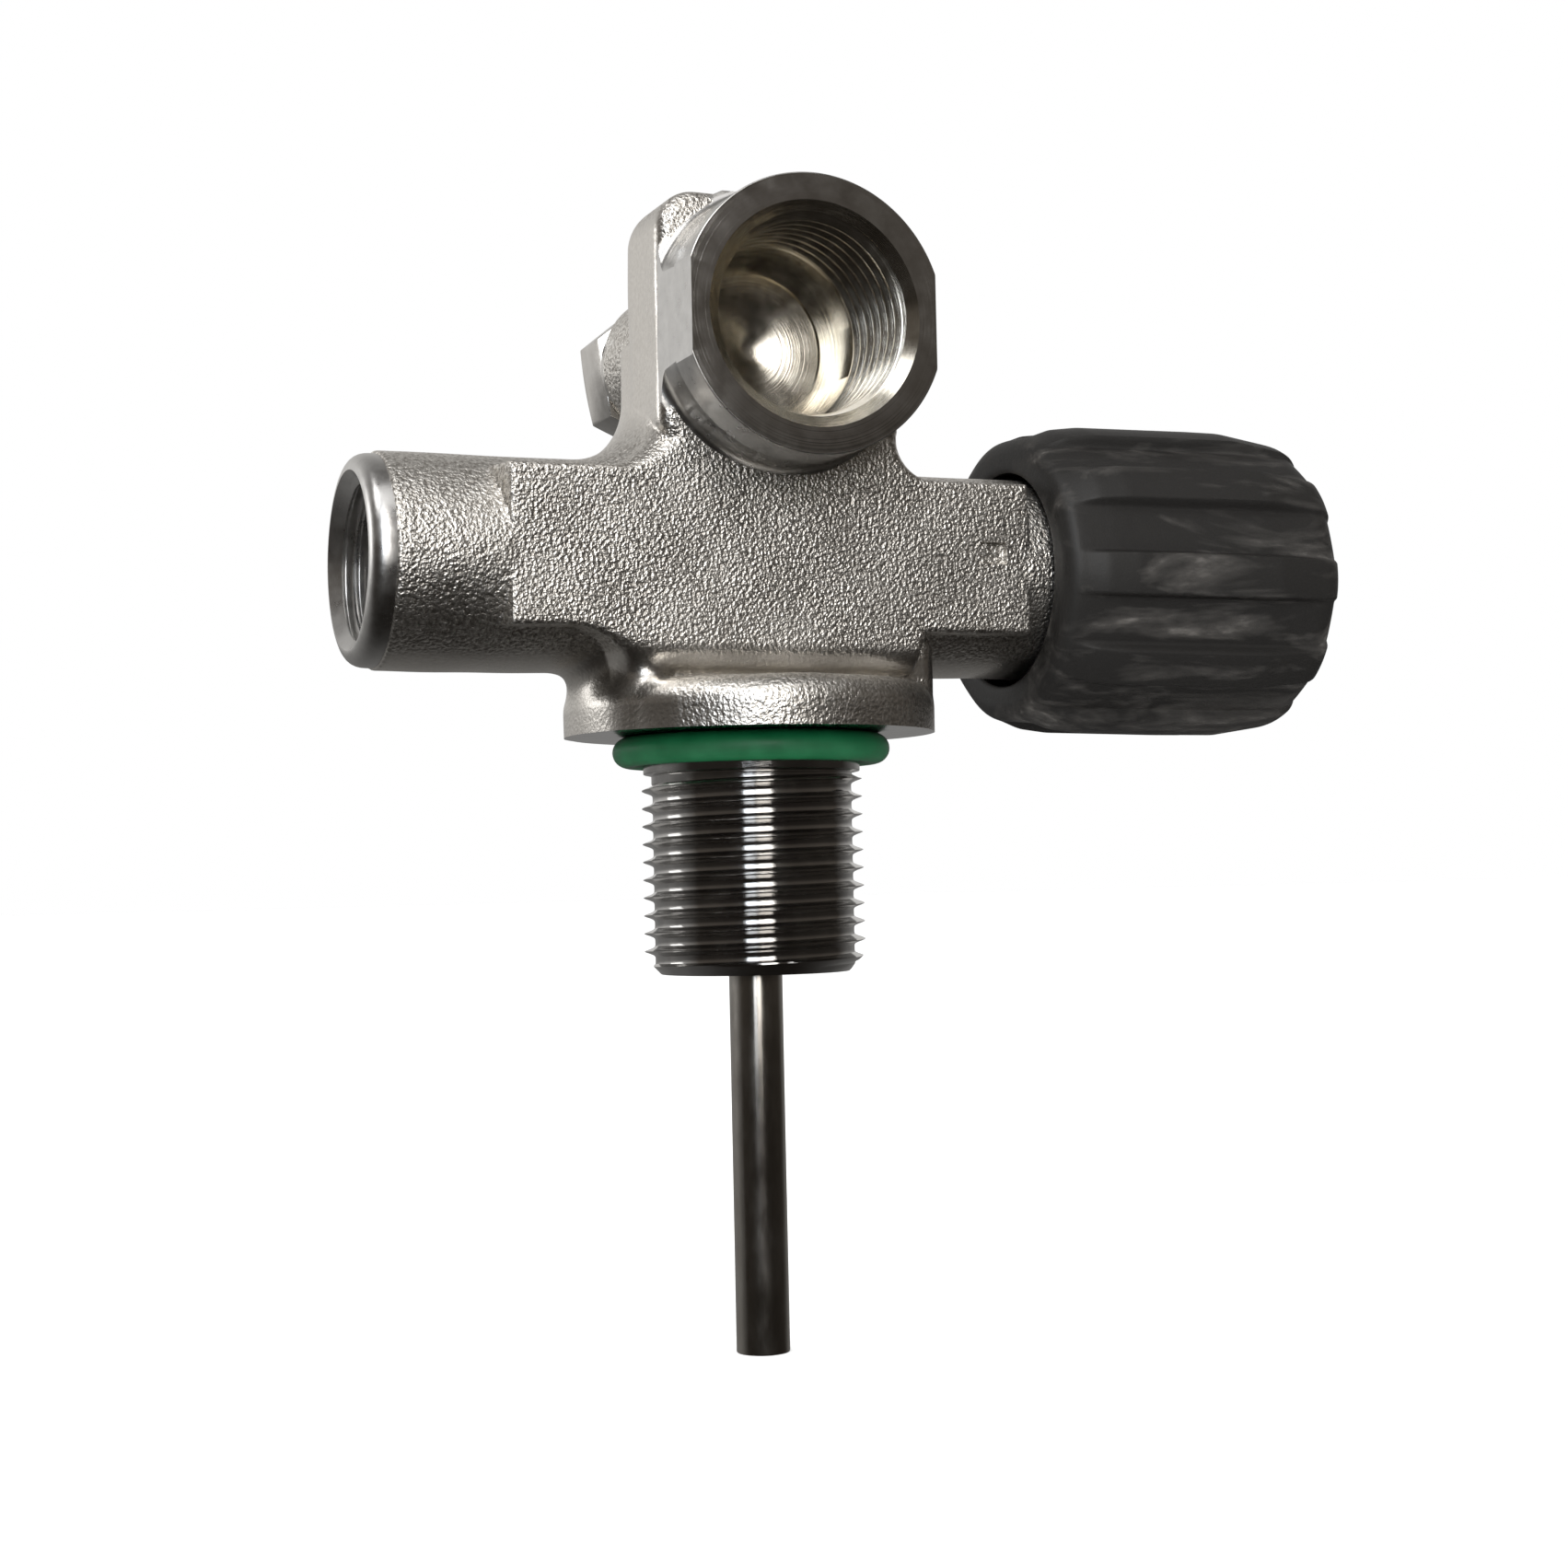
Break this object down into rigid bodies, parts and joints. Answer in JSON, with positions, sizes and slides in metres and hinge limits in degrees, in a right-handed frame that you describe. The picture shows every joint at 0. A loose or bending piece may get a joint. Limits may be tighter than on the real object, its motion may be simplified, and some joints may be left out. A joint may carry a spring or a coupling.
{
  "type": "scuba cylinder valve",
  "caption": "Chromed cylinder valve for diving, with a threaded neck and dip tube, a deep threaded outlet, an open side port and a ribbed rubber handwheel that lifts the seat.",
  "frame": {"origin": "centre of the neck flange's underside, where the valve meets the cylinder's neck", "axes": "+Z along the neck axis, away from the cylinder; the outlet faces -Y; the handwheel is on +X and the side port on -X"},
  "size_m": [0.1136, 0.0535, 0.1273],
  "materials": {
    "chrome_body": "sand-blasted forging, bright chrome plate, turned faces",
    "tube_chrome": "drawn tube, chrome plate",
    "plug_chrome": "turned and milled, bright",
    "copper": "soft copper",
    "brass_parts": "turned brass",
    "green_rubber": "smooth moulded rubber",
    "black_rubber": "smooth moulded rubber",
    "grip_rubber": "matte, dusty, worn along the ribs",
    "core_plastic": "glass-filled nylon",
    "white_plastic": "turned nylon and PTFE",
    "stainless": "stainless, fine turned"
  },
  "bodies": {
    "valve": {"valve_body": "chrome_body", "neck_o_ring": "green_rubber", "dip_tube": "tube_chrome", "burst_disc_plug": "plug_chrome", "burst_disc_washer": "plug_chrome", "burst_disc": "copper", "bonnet_nut": "plug_chrome", "bonnet_o_ring": "black_rubber"},
    "handwheel": {"upper_spindle": "stainless", "spindle_thrust_washer": "white_plastic", "spindle_o_ring_inner": "black_rubber", "spindle_o_ring_outer": "black_rubber", "spindle_backup_ring": "white_plastic", "knob_slip_washer": "white_plastic", "knob_core": "core_plastic", "knob_grip": "grip_rubber", "knob_spring": "stainless", "knob_spring_washer": "stainless", "knob_nut": "stainless"},
    "seat_carrier": {"lower_spindle": "brass_parts", "soft_seat": "white_plastic"}
  },
  "joints": [
    {"name": "knob_turn", "type": "hinge", "parent": "valve", "child": "handwheel", "pos_m": [0, 0, 0.0185], "axis": [1, 0, 0], "range_deg": [0, 900]},
    {"name": "seat_travel", "type": "slide", "parent": "handwheel", "child": "seat_carrier", "axis": [1, 0, 0], "range_m": [0, 0.0038]}
  ],
  "couplings": [
    {"joint": "seat_travel", "follows": "knob_turn", "m_per_rad": 0.00023873}
  ]
}
